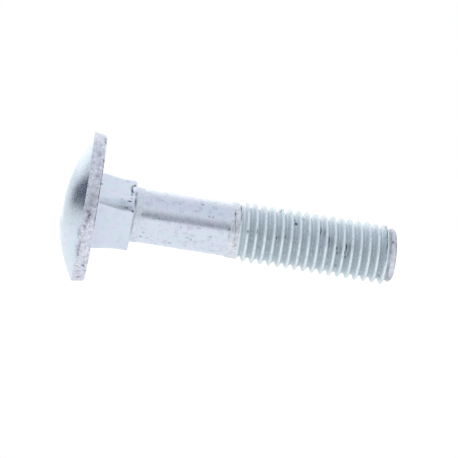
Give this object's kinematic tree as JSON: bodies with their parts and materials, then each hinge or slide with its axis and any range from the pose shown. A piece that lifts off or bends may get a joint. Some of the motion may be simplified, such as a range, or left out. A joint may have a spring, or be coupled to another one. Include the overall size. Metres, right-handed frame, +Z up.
{
  "type": "carriage bolt",
  "caption": "Zinc-plated steel carriage bolt with a low domed round head, a square neck that locks in wood or a square hole, a plain shank and a rolled metric thread, lying on its side.",
  "frame": {"origin": "on the surface that the bolt lies on, under the middle of its bounding box", "axes": "+X from the head towards the tip, seen from above; +Z up. The bolt's own axis lies in the XZ plane and slopes 8.45 degrees down from the head to the tip, because it rests on the edge of its head and on a crest near its tip"},
  "size_m": [0.067, 0.0298, 0.0295],
  "materials": {
    "zinc_plated_steel": "blue-white passivated zinc plating, satin on the drawn shank, duller and pitted on the forged rim"
  },
  "bodies": {
    "root": {"carriage_bolt": "zinc_plated_steel"}
  },
  "joints": []
}
